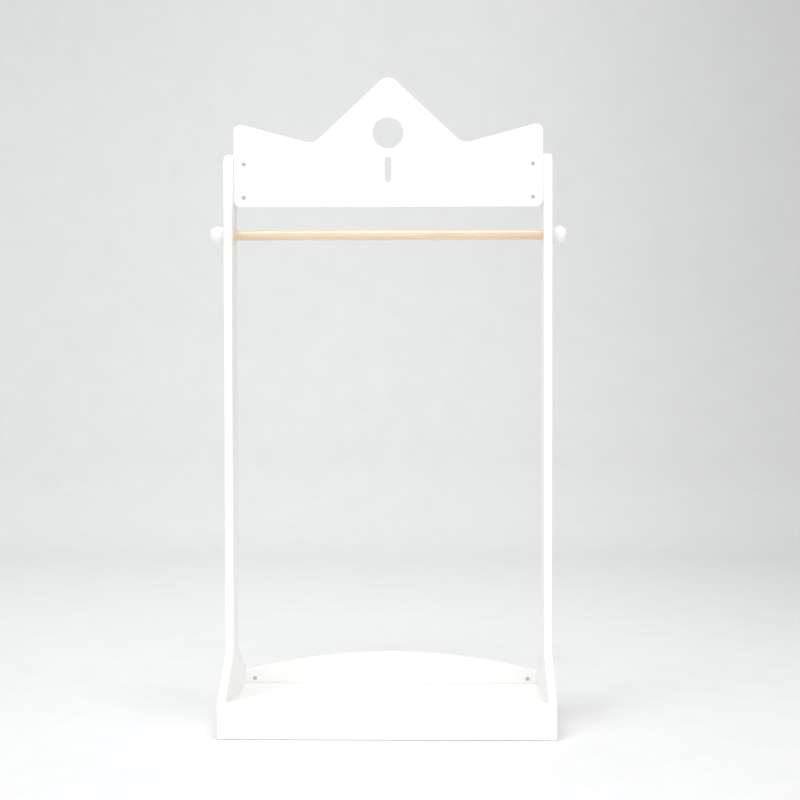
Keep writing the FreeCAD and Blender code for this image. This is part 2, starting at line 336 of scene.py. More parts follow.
def white_paint(name, grain_stretch, darker, paler):
    """Satin white lacquer: a fine sprayed skin over wood whose grain just telegraphs through."""
    cloud_stretch = (5.0, 5.0, 5.0)
    skin_stretch = (420.0, 420.0, 420.0)
    glossiest = 0.36
    dullest = 0.46
    relief = 0.0002
    material, tree, shader, place = new_material(name)
    cloud = noise_node(tree, place, cloud_stretch, detail=2.0)
    tree.links.new(mix_colour(tree, cloud, darker, paler), shader.inputs["Base Color"])
    tree.links.new(range_node(tree, cloud, glossiest, dullest), shader.inputs["Roughness"])
    skin = noise_node(tree, place, skin_stretch)
    skin_bump = add_node(tree, "ShaderNodeBump", {"Strength": 0.10, "Distance": relief, "Height": skin})
    grain = noise_node(tree, place, grain_stretch, detail=4.0)
    grain_bump = add_node(tree, "ShaderNodeBump", {
        "Strength": 0.05, "Distance": relief, "Height": grain, "Normal": skin_bump.outputs[0]})
    tree.links.new(grain_bump.outputs[0], shader.inputs["Normal"])
    return material


upright_paint = white_paint("white_paint_upright", upright_grain, *board_whites)
# A panel's outline is drawn along Y and Z, and its thickness runs along X
panel_axes = Matrix(((0, 0, 1, 0), (1, 0, 0, 0), (0, 1, 0, 0), (0, 0, 0, 1)))
front_half = [(half_foot, 0.0, foot_corner_radius), (half_foot, foot_edge_height, flare_radius),
              (half_strip, flare_top_height, flare_radius),
              (half_strip, panel_high.z - panel_low.z, strip_top_radius)]
panel_outline = front_half + [(-y, z, radius) for y, z, radius in reversed(front_half)]
drill_through = board_thickness + 2 * past_face
head_seat = bolt_head_radius + seat_clearance
seat_end = past_face + bolt_head_recess + bolt_head_rim
bolt_hole = [(0, 0), (0, head_seat), (seat_end, head_seat),
             (seat_end + head_seat - bolt_hole_radius, bolt_hole_radius),
             (drill_through, bolt_hole_radius), (drill_through, 0)]
rod_hole = cylinder(rod_radius + rod_running_clearance, drill_through)
dowel_socket = cylinder(dowel_radius + seat_clearance, past_face + dowel_in_panel)
for side_name, side in sides.items():
    name = side_name + "_panel"
    mesh = board_mesh(name, [panel_outline], board_thickness, edge_round, arc_steps, upright_paint)
    middle = Vector((side * (inner_half + outer_half) / 2, 0, panel_low.z))
    mesh.transform(Matrix.Translation(middle) @ panel_axes)
    bolt_places = places_in(side_name + "_header_bolts", bolt_head_radius)
    dowel_places = places_in(side_name + "_header_dowel", dowel_radius)
    dowel_places += places_in(side_name + "_shelf_dowels", dowel_radius)
    for end_name in ends:
        bolt_places += places_in(side_name + "_" + end_name + "_bolt", bolt_head_radius)
        dowel_places += places_in(side_name + "_" + end_name + "_dowel", dowel_radius)
    inward = (-side, 0, 0)
    outward = (side, 0, 0)
    outer_start = side * (outer_half + past_face)
    inner_start = side * (inner_half - past_face)
    holes = [(bolt_hole, (outer_start, y, z), inward) for y, z in bolt_places]
    holes.append((rod_hole, (outer_start, 0, rod_height), inward))
    holes += [(dowel_socket, (inner_start, y, z), outward) for y, z in dowel_places]
    panel = show(name, settle_normals(name, drill(mesh, holes)))
    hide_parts(side_name + "_side_panel")
    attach(panel, "frame")

# Base boards
# Two low boards of the same white wood between the feet, one at the front and one at the rear.
# The top edge is a shallow arch; the boards are eased along their edges and then sawn square to length.
# Bolts and dowels hold their ends; a fine dark line of painted shade on their inner faces marks the joint
# with the shelf.
board_low, board_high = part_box("front_base_board")
base_board_end_height = 0.0615
arch_rise = board_high.z - board_low.z - base_board_end_height
arch_radius = (inner_half ** 2 + arch_rise ** 2) / (2 * arch_rise)
saw_waste = 0.020
saw_radius = 0.2
arch_steps = 48.0
bolt_end_depth = 0.0243
dowel_in_board = 0.020
nut_setback = 0.018
nut_radius = 0.004
nut_hole_depth = 0.01255
# The painted shade line of the shelf joint: its height and its dark colour
joint_shade_height = 0.0002
joint_shade_tone = (0.40, 0.39, 0.37, 1.0)
shelf_low, shelf_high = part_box("base_shelf")
lengthwise_grain = (9.0, 500.0, 500.0)
base_paint = white_paint("white_paint_base", lengthwise_grain, *board_whites)
# An upright board's outline is drawn along X and Z, and its thickness runs along Y
upright_board_axes = Matrix(((1, 0, 0, 0), (0, 0, -1, 0), (0, 1, 0, 0), (0, 0, 0, 1)))


def paint_joint_shade(paint, inner_face, height):
    """Painted shade: a fine dark line along the boards' inner faces, just above the shelf, where the joint
    lies in shade.
    """
    tree = paint.node_tree
    colour = tree.nodes["Principled BSDF"].inputs["Base Color"]
    place = add_node(tree, "ShaderNodeTexCoord").outputs["Object"]
    axes = add_node(tree, "ShaderNodeSeparateXYZ", {"Vector": place}).outputs
    half_line = joint_shade_height / 2
    from_middle = math_node(tree, "SUBTRACT", axes["Z"], height + half_line)
    on_line = math_node(tree, "LESS_THAN", math_node(tree, "ABSOLUTE", from_middle), half_line)
    from_centre = math_node(tree, "ABSOLUTE", axes["Y"])
    inside = math_node(tree, "LESS_THAN", from_centre, inner_face + joint_shade_height)
    joint_shade_mask = math_node(tree, "MULTIPLY", on_line, inside)
    tree.links.new(mix_colour(tree, joint_shade_mask, colour.links[0].from_socket, joint_shade_tone), colour)


def saw_cuts(middle):
    """Waste beyond both ends of a board, about a point of its middle."""
    return [(cylinder(saw_radius, 2 * saw_waste), (side * inner_half, middle.y, middle.z), (side, 0, 0))
            for side in sides.values()]


def fastener_holes(bolt_places, dowel_places, nut_face=0.0, nut_inward=1):
    """Two drilling passes for both ends of a board: bolt and dowel bores, then cross holes for the nuts."""
    bolt_bore = cylinder(bolt_hole_radius, past_face + bolt_end_depth)
    dowel_bore = cylinder(dowel_radius + seat_clearance, past_face + dowel_in_board)
    nut_hole = cylinder(nut_radius + seat_clearance, past_face + nut_hole_depth)
    nut_start = nut_face - nut_inward * past_face
    bores = []
    nut_holes = []
    for side in sides.values():
        face = side * (inner_half + past_face)
        inward = (-side, 0, 0)
        bores += [(bolt_bore, (face, y, z), inward) for y, z in bolt_places]
        bores += [(dowel_bore, (face, y, z), inward) for y, z in dowel_places]
        nut_holes += [(nut_hole, (side * (inner_half - nut_setback), nut_start, z), (0, nut_inward, 0))
                      for y, z in bolt_places]
    return bores, nut_holes


# The base boards' paint gets the painted shade line along the shelf joint
paint_joint_shade(base_paint, -board_high.y, shelf_high.z)
# The arch is the fillet of one corner, which stands where the tangents at both ends meet
saw_reach = inner_half + saw_waste
centre_drop = math.sqrt(arch_radius ** 2 - saw_reach ** 2)
reach_height = base_board_end_height + arch_rise - arch_radius + centre_drop
tangent_height = reach_height + saw_reach ** 2 / centre_drop
arched_outline = [(-saw_reach, 0.0, 0.0), (saw_reach, 0.0, 0.0), (saw_reach, reach_height, 0.0),
                  (0.0, tangent_height, arch_radius), (-saw_reach, reach_height, 0.0)]
for end_name, end in ends.items():
    name = end_name + "_board"
    low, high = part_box(end_name + "_base_board")
    mesh = board_mesh(name, [arched_outline], board_thickness, edge_round, arch_steps, base_paint)
    mesh.transform(Matrix.Translation((0, (low.y + high.y) / 2, low.z)) @ upright_board_axes)
    inner_face = high.y if end < 0 else low.y
    # Both ends of a board are drilled at the places of the left side's fasteners
    holes = fastener_holes(places_in("left_" + end_name + "_bolt", bolt_head_radius),
                           places_in("left_" + end_name + "_dowel", dowel_radius), inner_face, end)
    board = show(name, settle_normals(name, drill(mesh, saw_cuts((low + high) / 2), *holes)))
    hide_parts(end_name + "_base_board")
    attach(board, "frame")

# Base shelf
# A plain white board that closes the tray between the base boards, eased along its edges and sawn square.
# It hangs on four dowels in the side panels, and meets both base boards where a fine line of painted shade
# runs along them.
lengthwise_paint = white_paint("white_paint_lengthwise", lengthwise_grain, *board_whites)
shelf_middle = (shelf_low + shelf_high) / 2
shelf_thickness = shelf_high.z - shelf_low.z
shelf_outline = [(-saw_reach, shelf_low.y, 0.0), (saw_reach, shelf_low.y, 0.0),
                 (saw_reach, shelf_high.y, 0.0), (-saw_reach, shelf_high.y, 0.0)]
mesh = board_mesh("shelf", [shelf_outline], shelf_thickness, edge_round, arc_steps, lengthwise_paint)
mesh.transform(Matrix.Translation((0, 0, shelf_middle.z)))
shelf_bores = fastener_holes([], places_in("left_shelf_dowels", dowel_radius))[0]
shelf = show("shelf", settle_normals("shelf", drill(mesh, saw_cuts(shelf_middle), shelf_bores)))
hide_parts("base_shelf")
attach(shelf, "frame")

# Crown header
# A white board between the tops of the panels, sawn to a crown of three points and eased on every edge.
# It carries a round hole over a short upright slot, and the barrel nuts go in from its front.
header_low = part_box("crown_header_board")[0]
crown_peak_height = 0.236
crown_point_height = 0.150
crown_valley_height = 0.112
crown_valley_offset = 0.133
crown_peak_radius = 0.020
crown_point_radius = 0.012
crown_valley_radius = 0.025
round_hole_radius = 0.0275
round_hole_height = 0.131
slot_radius = 0.006
slot_height = 0.066
slot_straight_half = 0.0165
hole_points = 64
header_edge_round = 0.0012


def round_ended_hole(radius, straight_half, height):
    """Clockwise loop of a hole with half-round ends; a round hole has no straight part."""
    loop = []
    for step in range(hole_points + 1):
        turn = math.pi - 2 * math.pi * step / hole_points
        shift = straight_half if step <= hole_points / 2 else -straight_half
        loop.append((radius * math.cos(turn), height + shift + radius * math.sin(turn), 0.0))
    return loop


right_half = [(inner_half, 0.0, crown_point_radius), (inner_half, crown_point_height, crown_point_radius),
              (crown_valley_offset, crown_valley_height, crown_valley_radius)]
left_half = [(-x, z, radius) for x, z, radius in reversed(right_half)]
crown_outline = right_half + [(0.0, crown_peak_height, crown_peak_radius)] + left_half
slot_loop = round_ended_hole(slot_radius, slot_straight_half, slot_height)
# The round hole leaves out its last point, which would repeat its first
hole_loop = round_ended_hole(round_hole_radius, 0.0, round_hole_height)[:-1]
mesh = board_mesh("header", [crown_outline, hole_loop, slot_loop], board_thickness, header_edge_round,
                  arc_steps, lengthwise_paint)
mesh.transform(Matrix.Translation((0, 0, header_low.z)) @ upright_board_axes)
header_holes = fastener_holes(places_in("left_header_bolts", bolt_head_radius),
                              places_in("left_header_dowel", dowel_radius), header_low.y, 1)
header = show("header", settle_normals("header", drill(mesh, *header_holes)))
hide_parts("crown_header_board")
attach(header, "frame")

# Hanging rod
# A round rod of pale natural wood, clear varnished, that runs through both side panels and turns in them.
# Its ends are chamfered and bored for the screws that hold the balls.
rod_end_chamfer = 0.0005
screw_bore_radius = 0.00305
screw_bore_in_rod = 0.02505


def natural_wood(name):
    """Pale wood under a clear varnish: rings cut at a slant, broad streaks, fine fibres and short pores,
    and darker towards both ends, partly heartwood tone and partly painted shade where the panels shade the
    rod.
    """
    pale = (0.90, 0.765, 0.60, 1.0)
    ring_tone = (0.75, 0.51, 0.315, 1.0)
    streak_tone = (0.76, 0.53, 0.335, 1.0)
    fibre_tone = (0.79, 0.59, 0.40, 1.0)
    heart_and_shade_tone = (0.79, 0.585, 0.39, 1.0)
    streak_stretch = (16.0, 330.0, 330.0)
    fibre_stretch = (40.0, 1500.0, 1500.0)
    pore_stretch = (180.0, 2200.0, 2200.0)
    streak_shares = (-0.25, 0.65)
    fibre_shares = (0.0, 0.35)
    pore_roughness = (0.42, 0.56)
    ring_slant = math.radians(1.3)
    ring_shift = (0.0, 0.012, 0.024 - rod_height)
    ring_sharpness = 2.5
    ring_strength = 0.55
    palest_place = -0.02
    palest_half = 0.05
    heart_and_shade_reach = 0.30
    heart_and_shade_strength = 0.7
    pore_relief = 0.5
    material, tree, shader, place = new_material(name)
    ring_axis = add_node(tree, "ShaderNodeMapping", {
        "Vector": place, "Location": ring_shift, "Rotation": (0.0, ring_slant, ring_slant)})
    rings = add_node(tree, "ShaderNodeTexWave", {
        "Vector": ring_axis.outputs[0], "Scale": 100.0, "Distortion": 1.6,
        "Detail": 2.0, "Detail Scale": 0.35},
        wave_type="RINGS", rings_direction="X", wave_profile="SAW").outputs["Fac"]
    streaks = noise_node(tree, place, streak_stretch)
    fibres = noise_node(tree, place, fibre_stretch)
    pores = noise_node(tree, place, pore_stretch, detail=2.0)
    ring_edge = math_node(tree, "POWER", rings, ring_sharpness)
    ring_share = math_node(tree, "MULTIPLY", ring_edge, ring_strength)
    length_place = add_node(tree, "ShaderNodeSeparateXYZ", {"Vector": place}).outputs["X"]
    # Darker towards both ends: partly heartwood, partly painted shade of the panels on the rod
    from_palest = math_node(tree, "ABSOLUTE", math_node(tree, "SUBTRACT", length_place, palest_place))
    heart_and_shade_share = add_node(tree, "ShaderNodeMapRange", {
        "Value": from_palest, "From Min": palest_half, "From Max": heart_and_shade_reach,
        "To Min": 0.0, "To Max": heart_and_shade_strength}).outputs[0]
    heart_and_shade_coloured = mix_colour(tree, heart_and_shade_share, pale, heart_and_shade_tone)
    ringed = mix_colour(tree, ring_share, heart_and_shade_coloured, ring_tone)
    streaked = mix_colour(tree, range_node(tree, streaks, *streak_shares), ringed, streak_tone)
    fibred = mix_colour(tree, range_node(tree, fibres, *fibre_shares), streaked, fibre_tone)
    tree.links.new(fibred, shader.inputs["Base Color"])
    tree.links.new(range_node(tree, pores, *pore_roughness), shader.inputs["Roughness"])
    shader.inputs["Diffuse Roughness"].default_value = 1.0
    shader.inputs["Coat Weight"].default_value = 1.0
    shader.inputs["Coat Roughness"].default_value = 0.12
    shader.inputs["Coat IOR"].default_value = 1.7
    relief = math_node(tree, "ADD", fibres, math_node(tree, "MULTIPLY", pores, pore_relief))
    bump = add_node(tree, "ShaderNodeBump", {"Strength": 0.12, "Distance": 0.0002, "Height": relief})
    tree.links.new(bump.outputs[0], shader.inputs["Normal"])
    return material


def turned_piece(name, profile, start, direction, material):
    """Object with one solid turned about a line."""
    shape = bmesh.new()
    add_turned(shape, profile, start, direction)
    mesh = bpy.data.meshes.new(name)
    shape.to_mesh(mesh)
    shape.free()
    mesh.materials.append(material)
    return show(name, settle_normals(name, mesh))


rod_length = rod_high.x - rod_low.x
rod_wood = natural_wood("varnished_wood")
rod_end = [(screw_bore_in_rod, 0), (screw_bore_in_rod, screw_bore_radius), (0, screw_bore_radius),
           (0, rod_radius - rod_end_chamfer), (rod_end_chamfer, rod_radius)]
rod_far_end = [(rod_length - distance, radius) for distance, radius in reversed(rod_end)]
rod = turned_piece("rod", rod_end + rod_far_end, (rod_low.x, 0, rod_height), (1, 0, 0), rod_wood)
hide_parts("hanging_rod")
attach(rod, "rod_set")

# Ball finials
# Two turned wooden balls, sprayed white, that keep the rod between the panels and serve as knobs.
# Each has a flat with a rounded rim that bears on the end of the rod, and a bore for its screw.
ball_radius = 0.0165
ball_rim_round = 0.0008
ball_shoulder = 0.0015
screw_bore_in_ball = 0.01805
ball_steps = 40
rim_steps = 5
# The balls' white is darker than the boards': partly their own paint, partly painted shade on the balls
ball_paint_and_shade_whites = (0.87, 0.88, 0.875, 1.0), (0.895, 0.90, 0.895, 1.0)
ball_grain = (60.0, 500.0, 500.0)
ball_paint = white_paint("white_paint_ball", ball_grain, *ball_paint_and_shade_whites)
ball_flat_radius = rod_radius + ball_shoulder
ball_centre = math.sqrt(ball_radius ** 2 - ball_flat_radius ** 2)
# The rim's arc is tangent to the flat and to the ball
rim_centre_radius = math.sqrt((ball_radius - ball_rim_round) ** 2 - (ball_centre - ball_rim_round) ** 2)
rim_turn = math.atan2(rim_centre_radius, ball_rim_round - ball_centre)
ball_profile = [(screw_bore_in_ball, 0), (screw_bore_in_ball, screw_bore_radius), (0, screw_bore_radius)]
for step in range(rim_steps):
    turn = math.pi + (rim_turn - math.pi) * step / rim_steps
    rim_distance = ball_rim_round * (1 + math.cos(turn))
    ball_profile.append((rim_distance, rim_centre_radius + ball_rim_round * math.sin(turn)))
for step in range(ball_steps):
    turn = rim_turn * (1 - step / ball_steps)
    ball_profile.append((ball_centre + ball_radius * math.cos(turn), ball_radius * math.sin(turn)))
ball_profile.append((ball_centre + ball_radius, 0))
for side_name, side in sides.items():
    flat = rod_high.x if side > 0 else rod_low.x
    ball = turned_piece(side_name + "_ball", ball_profile, (flat, 0, rod_height), (side, 0, 0), ball_paint)
    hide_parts(side_name + "_ball_finial")
    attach(ball, "rod_set")

# Dowel screws
# Two double-ended screws of zinc-plated steel, hidden where each ball meets the end of the rod.
# One end of each is driven into the rod and the other into the ball, and the shape is the CAD model's own.
zinc_shades = (0.57, 0.58, 0.59, 1.0), (0.71, 0.72, 0.72, 1.0)


def zinc_plate(name):
    """Bright zinc on steel: a cool grey metal with a faint cloudy bloom and fine tooling marks."""
    bloom_stretch = (350.0, 350.0, 350.0)
    mark_stretch = (2500.0, 2500.0, 400.0)
    glossiest = 0.38
    dullest = 0.55
    material, tree, shader, place = new_material(name)
    bloom = noise_node(tree, place, bloom_stretch)
    marks = noise_node(tree, place, mark_stretch, detail=2.0)
    tree.links.new(mix_colour(tree, bloom, *zinc_shades), shader.inputs["Base Color"])
    tree.links.new(range_node(tree, bloom, glossiest, dullest), shader.inputs["Roughness"])
    shader.inputs["Metallic"].default_value = 1.0
    bump = add_node(tree, "ShaderNodeBump", {"Strength": 0.15, "Distance": 0.00005, "Height": marks})
    tree.links.new(bump.outputs[0], shader.inputs["Normal"])
    return material


zinc = zinc_plate("bright_zinc")
for side_name in sides:
    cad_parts[side_name + "_ball_screw"].material_slots[0].material = zinc

# Connector bolts
# Eight zinc-plated bolts with countersunk heads and hexagon sockets, pulled into the panels' outer faces.
# Each runs through a panel into the end of a board, where a barrel nut takes its thread.
bolt_past_nut = 0.006
bolt_length = board_thickness + nut_setback + bolt_past_nut - bolt_head_recess
socket_flats = 0.003
socket_depth = 0.002
bolt_sides = 48
socket_sides = 6


def add_rod(tree, radius, start, end, vertices):
    """Cylinder node along Z from one height to another."""
    depth = math_node(tree, "SUBTRACT", end, start)
    middle = math_node(tree, "MULTIPLY", math_node(tree, "ADD", start, end), 0.5)
    turned = add_node(tree, "GeometryNodeMeshCylinder", {
        "Vertices": vertices, "Radius": radius, "Depth": depth})
    shift = add_node(tree, "ShaderNodeCombineXYZ", {"Z": middle})
    return add_node(tree, "GeometryNodeTransform", {
        "Geometry": turned.outputs[0], "Translation": shift.outputs[0]}).outputs[0]


def combine(tree, operation, first, others):
    """Exact union or difference of solids."""
    sockets = {"Mesh 2": others} if first is None else {"Mesh 1": first, "Mesh 2": others}
    return add_node(tree, "GeometryNodeMeshBoolean", sockets,
                    operation=operation, solver="EXACT").outputs[0]


def set_on_places(tree, given, piece):
    """Instances of a piece on the places, with its Z axis along each place's direction."""
    direction = add_node(tree, "GeometryNodeInputNamedAttribute", {"Name": "direction"},
                         data_type="FLOAT_VECTOR")
    turn = add_node(tree, "FunctionNodeAlignRotationToVector", {"Vector": direction.outputs[0]}, axis="Z")
    placed = add_node(tree, "GeometryNodeInstanceOnPoints", {
        "Points": given["Geometry"], "Instance": piece, "Rotation": turn.outputs[0]})
    end_tree(tree, placed.outputs[0], given)


def connector_bolt_tree():
    """Countersunk bolt with a hexagon socket, from its head's face along Z."""
    tree, given = new_geometry_tree("connector_bolt", [
        "Length", "Radius", "Head Radius", "Head Rim", "Socket Flats", "Socket Depth"])
    rim = add_rod(tree, given["Head Radius"], 0.0, given["Head Rim"], bolt_sides)
    cone_depth = math_node(tree, "SUBTRACT", given["Head Radius"], given["Radius"])
    cone = add_node(tree, "GeometryNodeMeshCone", {
        "Vertices": bolt_sides, "Radius Top": given["Radius"], "Radius Bottom": given["Head Radius"],
        "Depth": cone_depth})
    cone_place = add_node(tree, "ShaderNodeCombineXYZ", {"Z": given["Head Rim"]})
    seat = add_node(tree, "GeometryNodeTransform", {
        "Geometry": cone.outputs[0], "Translation": cone_place.outputs[0]}).outputs[0]
    shank = add_rod(tree, given["Radius"], given["Head Rim"], given["Length"], bolt_sides)
    body = combine(tree, "UNION", None, [rim, seat, shank])
    # A hexagon's corners stand off its middle by the width across its flats over the root of three
    corner_radius = math_node(tree, "DIVIDE", given["Socket Flats"], math.sqrt(3))
    over = math_node(tree, "MULTIPLY", given["Socket Depth"], -1.0)
    socket = add_rod(tree, corner_radius, over, given["Socket Depth"], socket_sides)
    set_on_places(tree, given, combine(tree, "DIFFERENCE", body, [socket]))
    return tree


def places_mesh(name, places):
    """Loose points with a direction each; places holds (point, direction) pairs."""
    mesh = bpy.data.meshes.new(name + "_places")
    mesh.from_pydata([spot for spot, direction in places], [], [])
    directions = mesh.attributes.new("direction", "FLOAT_VECTOR", "POINT")
    for item, (spot, direction) in zip(directions.data, places):
        item.vector = direction
    return mesh


bolt_endings = ["_header_bolts", "_front_bolt", "_rear_bolt"]
head_places = []
for side_name, side in sides.items():
    for ending in bolt_endings:
        for y, z in places_in(side_name + ending, bolt_head_radius):
            spot = (side * (outer_half - bolt_head_recess), y, z)
            head_places.append((spot, (-side, 0, 0)))
mesh = run_tree("connector_bolts", places_mesh("connector_bolts", head_places), connector_bolt_tree(), {
    "Length": bolt_length, "Radius": bolt_radius,
    "Head Radius": bolt_head_radius, "Head Rim": bolt_head_rim,
    "Socket Flats": socket_flats, "Socket Depth": socket_depth, "Finish": zinc})
bolts = show("connector_bolts", settle_normals("connector_bolts", mesh))
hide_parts(*[side_name + ending for side_name in sides for ending in bolt_endings])
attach(bolts, "frame")

# Barrel nuts
# Eight zinc-plated cross dowels, set just under the face of the header and of the base boards' inner faces.
# Each is threaded across for its bolt and has a cross recess for a screwdriver in the end that shows.
nut_length = 0.012
nut_recess = 0.0005
nut_recess_width = 0.0018
nut_recess_length = 0.0058
nut_recess_depth = 0.0025
nut_chamfer = 0.0004
thread_drill_radii = 3.0


def barrel_nut_tree():
    """Cross dowel from its visible end along Z, with a cross recess there and its thread hole along X."""
    tree, given = new_geometry_tree("barrel_nut", [
        "Radius", "Length", "End Chamfer", "Recess Width", "Recess Length", "Recess Depth",
        "Thread Radius", "Thread Depth"])
    barrel = add_rod(tree, given["Radius"], given["End Chamfer"], given["Length"], bolt_sides)
    end_radius = math_node(tree, "SUBTRACT", given["Radius"], given["End Chamfer"])
    end_cone = add_node(tree, "GeometryNodeMeshCone", {
        "Vertices": bolt_sides, "Radius Top": given["Radius"], "Radius Bottom": end_radius,
        "Depth": given["End Chamfer"]}).outputs[0]
    body = combine(tree, "UNION", None, [barrel, end_cone])
    recess_deep = math_node(tree, "MULTIPLY", given["Recess Depth"], 2.0)
    recess_arms = []
    for x_size, y_size in (("Recess Length", "Recess Width"), ("Recess Width", "Recess Length")):
        arm_size = add_node(tree, "ShaderNodeCombineXYZ", {
            "X": given[x_size], "Y": given[y_size], "Z": recess_deep})
        recess_arms.append(add_node(tree, "GeometryNodeMeshCube", {"Size": arm_size.outputs[0]}).outputs[0])
    across = math_node(tree, "MULTIPLY", given["Radius"], thread_drill_radii)
    thread = add_node(tree, "GeometryNodeMeshCylinder", {
        "Vertices": bolt_sides, "Radius": given["Thread Radius"], "Depth": across})
    thread_place = add_node(tree, "ShaderNodeCombineXYZ", {"Z": given["Thread Depth"]})
    thread_cut = add_node(tree, "GeometryNodeTransform", {
        "Geometry": thread.outputs[0], "Translation": thread_place.outputs[0],
        "Rotation": (0.0, math.pi / 2, 0.0)}).outputs[0]
    set_on_places(tree, given, combine(tree, "DIFFERENCE", body, recess_arms + [thread_cut]))
    return tree


nut_seats = {"_header_nuts": ("_header_bolts", header_low.y, 1),
             "_front_nut": ("_front_bolt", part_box("front_base_board")[1].y, -1),
             "_rear_nut": ("_rear_bolt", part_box("rear_base_board")[0].y, 1)}
mouth_places = []
for side_name, side in sides.items():
    for bolt_ending, face, inward in nut_seats.values():
        for y, z in places_in(side_name + bolt_ending, bolt_head_radius):
            spot = (side * (inner_half - nut_setback), face + inward * nut_recess, z)
            mouth_places.append((spot, (0, inward, 0)))
mesh = run_tree("barrel_nuts", places_mesh("barrel_nuts", mouth_places), barrel_nut_tree(), {
    "Radius": nut_radius, "Length": nut_length, "End Chamfer": nut_chamfer,
    "Recess Width": nut_recess_width, "Recess Length": nut_recess_length, "Recess Depth": nut_recess_depth,
    "Thread Radius": bolt_radius + seat_clearance,
    "Thread Depth": board_thickness / 2 - nut_recess, "Finish": zinc})
nuts = show("barrel_nuts", settle_normals("barrel_nuts", mesh))
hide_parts(*[side_name + ending for side_name in sides for ending in nut_seats])
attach(nuts, "frame")

# Wooden dowels
# Ten fluted dowels of hard wood, hidden across the joints of the panels with the header, boards and shelf.
# The flutes let the air and the spare glue out of the blind holes.
dowel_end_gap = 0.0005
dowel_end_chamfer = 0.001
dowel_flute_depth = 0.0003
dowel_flutes = 18
dowel_rings = 30
dowel_tans = (0.56, 0.34, 0.19, 1.0), (0.74, 0.53, 0.34, 1.0)


def dowel_wood_finish(name):
    """Bare hard wood: warm tan with short darker flecks along the dowel."""
    fleck_stretch = (60.0, 900.0, 900.0)
    smoothest = 0.6
    roughest = 0.75
    material, tree, shader, place = new_material(name)
    fibres = noise_node(tree, place, fleck_stretch)
    tree.links.new(mix_colour(tree, fibres, *dowel_tans), shader.inputs["Base Color"])
    tree.links.new(range_node(tree, fibres, smoothest, roughest), shader.inputs["Roughness"])
    bump = add_node(tree, "ShaderNodeBump", {"Strength": 0.2, "Distance": 0.0002, "Height": fibres})
    tree.links.new(bump.outputs[0], shader.inputs["Normal"])
    return material


def fluted_dowel_tree():
    """Fluted dowel with chamfered ends, along Z from one end."""
    tree, given = new_geometry_tree("fluted_dowel", ["Radius", "Length", "End Chamfer", "Flute Depth"])
    far_end = add_node(tree, "ShaderNodeCombineXYZ", {"Z": given["Length"]})
    line = add_node(tree, "GeometryNodeCurvePrimitiveLine", {"End": far_end.outputs[0]})
    path = add_node(tree, "GeometryNodeResampleCurve", {"Curve": line.outputs[0], "Count": dowel_rings})
    along = add_node(tree, "GeometryNodeSplineParameter").outputs["Length"]
    from_end = math_node(tree, "MINIMUM", along, math_node(tree, "SUBTRACT", given["Length"], along))
    rise = math_node(tree, "MINIMUM", math_node(tree, "DIVIDE", from_end, given["End Chamfer"]), 1.0)
    missing = math_node(tree, "MULTIPLY", math_node(tree, "SUBTRACT", 1.0, rise),
                        math_node(tree, "DIVIDE", given["End Chamfer"], given["Radius"]))
    section = add_node(tree, "GeometryNodeCurveStar", {
        "Points": dowel_flutes, "Outer Radius": given["Radius"],
        "Inner Radius": math_node(tree, "SUBTRACT", given["Radius"], given["Flute Depth"])})
    dowel = add_node(tree, "GeometryNodeCurveToMesh", {
        "Curve": path.outputs[0], "Profile Curve": section.outputs[0], "Fill Caps": True,
        "Scale": math_node(tree, "SUBTRACT", 1.0, missing)})
    set_on_places(tree, given, dowel.outputs[0])
    return tree


dowel_endings = ["_header_dowel", "_shelf_dowels", "_front_dowel", "_rear_dowel"]
dowel_length = dowel_in_panel + dowel_in_board - 2 * dowel_end_gap
dowel_spots = []
for side_name, side in sides.items():
    for ending in dowel_endings:
        for y, z in places_in(side_name + ending, dowel_radius):
            spot = (side * (inner_half + dowel_in_panel - dowel_end_gap), y, z)
            dowel_spots.append((spot, (-side, 0, 0)))
mesh = run_tree("wooden_dowels", places_mesh("wooden_dowels", dowel_spots), fluted_dowel_tree(), {
    "Radius": dowel_radius, "Length": dowel_length, "End Chamfer": dowel_end_chamfer,
    "Flute Depth": dowel_flute_depth, "Finish": dowel_wood_finish("bare_hard_wood")})
dowels = show("wooden_dowels", settle_normals("wooden_dowels", mesh))
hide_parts(*[side_name + ending for side_name in sides for ending in dowel_endings])
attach(dowels, "frame")

# Studio
# Pale paper, a floor that sweeps up into a wall, under large soft lights from the front and from above; the
# paper's tone holds painted falloff of that light.
# Two lights brighten the wall, a narrow one the tray's left corner, and a low one works as a reflector.
# The camera stands in front, a little right of the middle and below the rod, and looks slightly down.
floor_front = -9.0
sweep_start = 2.3
sweep_radius = 1.0
wall_top = 6.0
stage_half_width = 9.0
sweep_steps = 24
# Paper tone by height, with painted falloff of light: darker up the wall
paper_and_falloff_tones = {0.0: 0.832, 0.28: 0.761, 1.0: 0.735, 2.0: 0.674}
paper_tint = Vector((0.9945, 1.003, 1.0015))
paper_roughness = 0.9
tone_height = 2.2
palest_floor = -0.3
painted_front_lift = 1.055
side_centre = -0.04
side_fall_start = 0.2
side_fall_end = 1.9
side_fall = 0.88
mottle_stretch = (12.0, 12.0, 12.0)
mottle_low = 0.985
mottle_high = 1.015
section = [(floor_front, 0.0)]
for step in range(sweep_steps + 1):
    turn = math.pi / 2 * step / sweep_steps
    section.append((sweep_start + sweep_radius * math.sin(turn), sweep_radius * (1 - math.cos(turn))))
section.append((sweep_start + sweep_radius, wall_top))
corners = [(x, y, z) for y, z in section for x in (-stage_half_width, stage_half_width)]
faces = [(2 * step, 2 * step + 1, 2 * step + 3, 2 * step + 2) for step in range(len(section) - 1)]
stage_mesh = bpy.data.meshes.new("studio_floor")
stage_mesh.from_pydata(corners, [], faces)
stage_mesh.shade_smooth()
stage_paint, stage_tree, stage_shader, stage_place = new_material("studio_paper")
